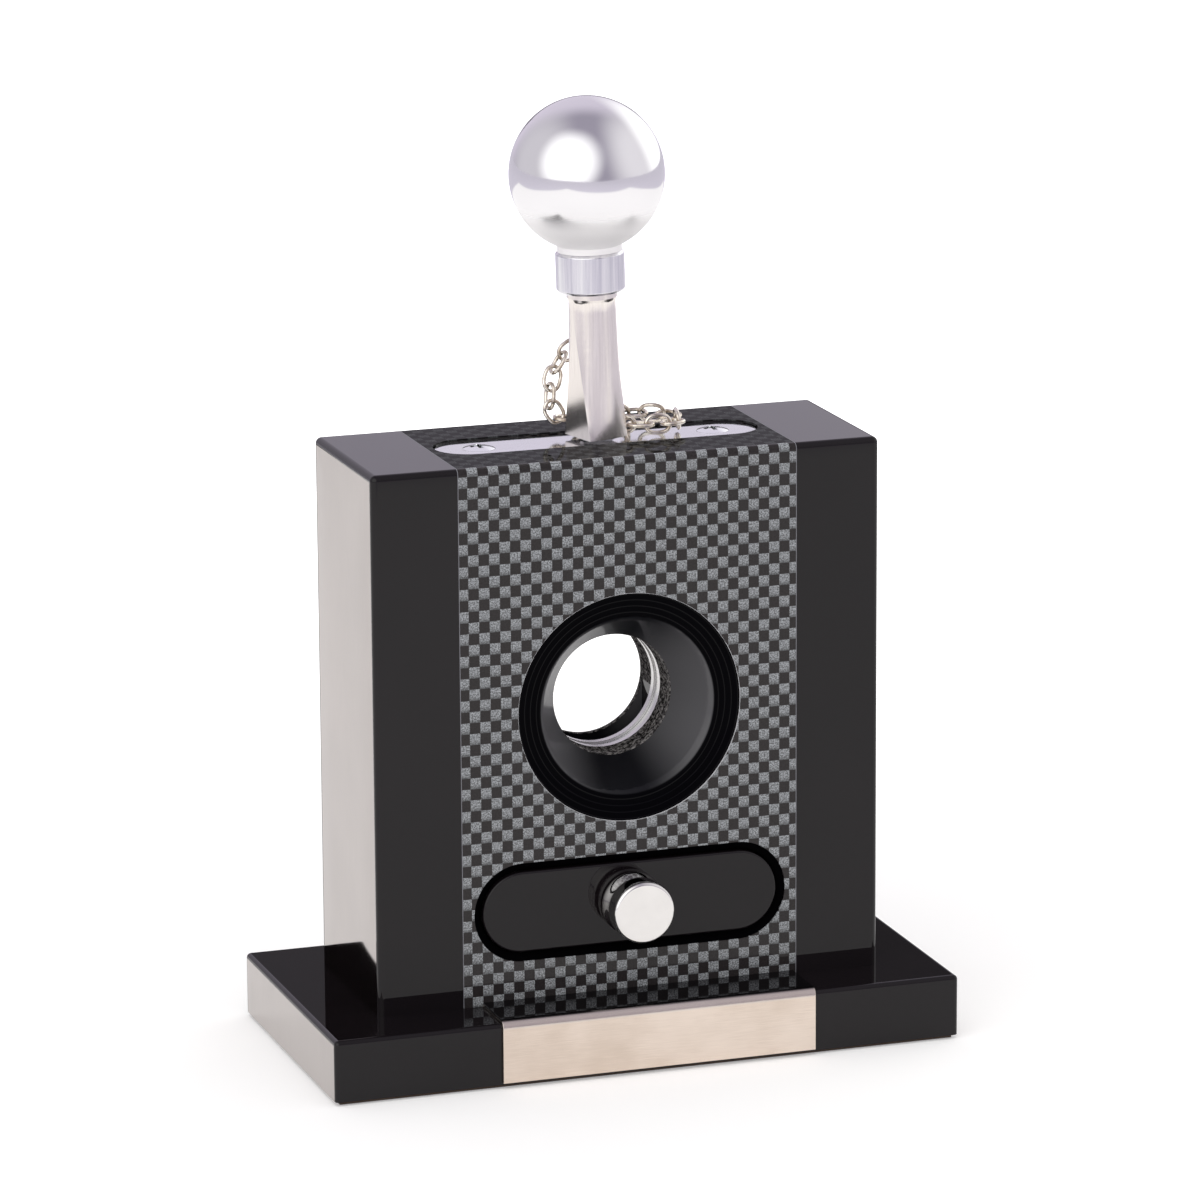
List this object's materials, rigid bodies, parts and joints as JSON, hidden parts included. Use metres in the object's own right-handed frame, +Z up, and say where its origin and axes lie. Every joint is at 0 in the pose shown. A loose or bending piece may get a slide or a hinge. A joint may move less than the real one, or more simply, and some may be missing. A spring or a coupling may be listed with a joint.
{
  "type": "table-top guillotine cigar cutter",
  "caption": "Free-standing guillotine cigar cutter: a lacquered block on a wide base, with a funnel-mouthed through bore, a ball-topped plunger blade, a tether chain and a clippings drawer.",
  "frame": {"origin": "on the table, under the middle of the base, on the felt's underside", "axes": "+Z up; the front with the drawer faces -Y; +X to the right seen from the front"},
  "size_m": [0.128, 0.0638, 0.1886],
  "materials": {
    "black_lacquer": "high-gloss black lacquer on fibreboard",
    "brown_felt": "pressed felt",
    "satin_steel": "satin stainless sheet",
    "screw_steel": "zinc-plated steel",
    "tool_steel": "ground steel",
    "beech": "plain beech dowel",
    "carbon_weave": "checker weave film under clear gloss",
    "chrome_plate": "polished chrome",
    "pale_brass": "pale nickel-gold plate",
    "polished_aluminium": "polished, faintly satin",
    "satin_aluminium": "drawn and satin finished",
    "black_tray": "matt black paint"
  },
  "bodies": {
    "case": {"base_block": "black_lacquer", "base_felt": "brown_felt", "base_side_plate_left": "satin_steel", "base_side_plate_right": "satin_steel", "base_front_plate": "satin_steel", "base_screws": "screw_steel", "body_front_half": "black_lacquer", "body_rear_half": "black_lacquer", "body_dowels": "beech", "body_side_plate_left": "satin_steel", "body_side_plate_right": "satin_steel", "carbon_band": "carbon_weave", "front_funnel": "black_lacquer", "rear_funnel": "black_lacquer", "guide_plate_front": "tool_steel", "guide_plate_rear": "tool_steel", "guide_spacer": "tool_steel", "guide_rivets": "screw_steel", "top_plate": "chrome_plate", "top_plate_screws": "chrome_plate", "chain_plate_eye": "pale_brass", "chain_links": "pale_brass"},
    "handle": {"ball_knob": "polished_aluminium", "knob_collar": "polished_aluminium", "knob_stud": "screw_steel", "handle_stem": "satin_aluminium", "cutter_blade": "tool_steel", "chain_stem_eye": "pale_brass"},
    "drawer": {"drawer_front": "black_lacquer", "drawer_tray": "black_tray", "drawer_knob": "chrome_plate", "drawer_knob_screw": "screw_steel"}
  },
  "joints": [
    {"name": "handle_slide", "type": "slide", "parent": "case", "child": "handle", "axis": [0, 0, 1], "range_m": [0, 0.0299], "deforming": ["chain_links"]},
    {"name": "drawer_slide", "type": "slide", "parent": "case", "child": "drawer", "axis": [0, -1, 0], "range_m": [0, 0.028]}
  ]
}
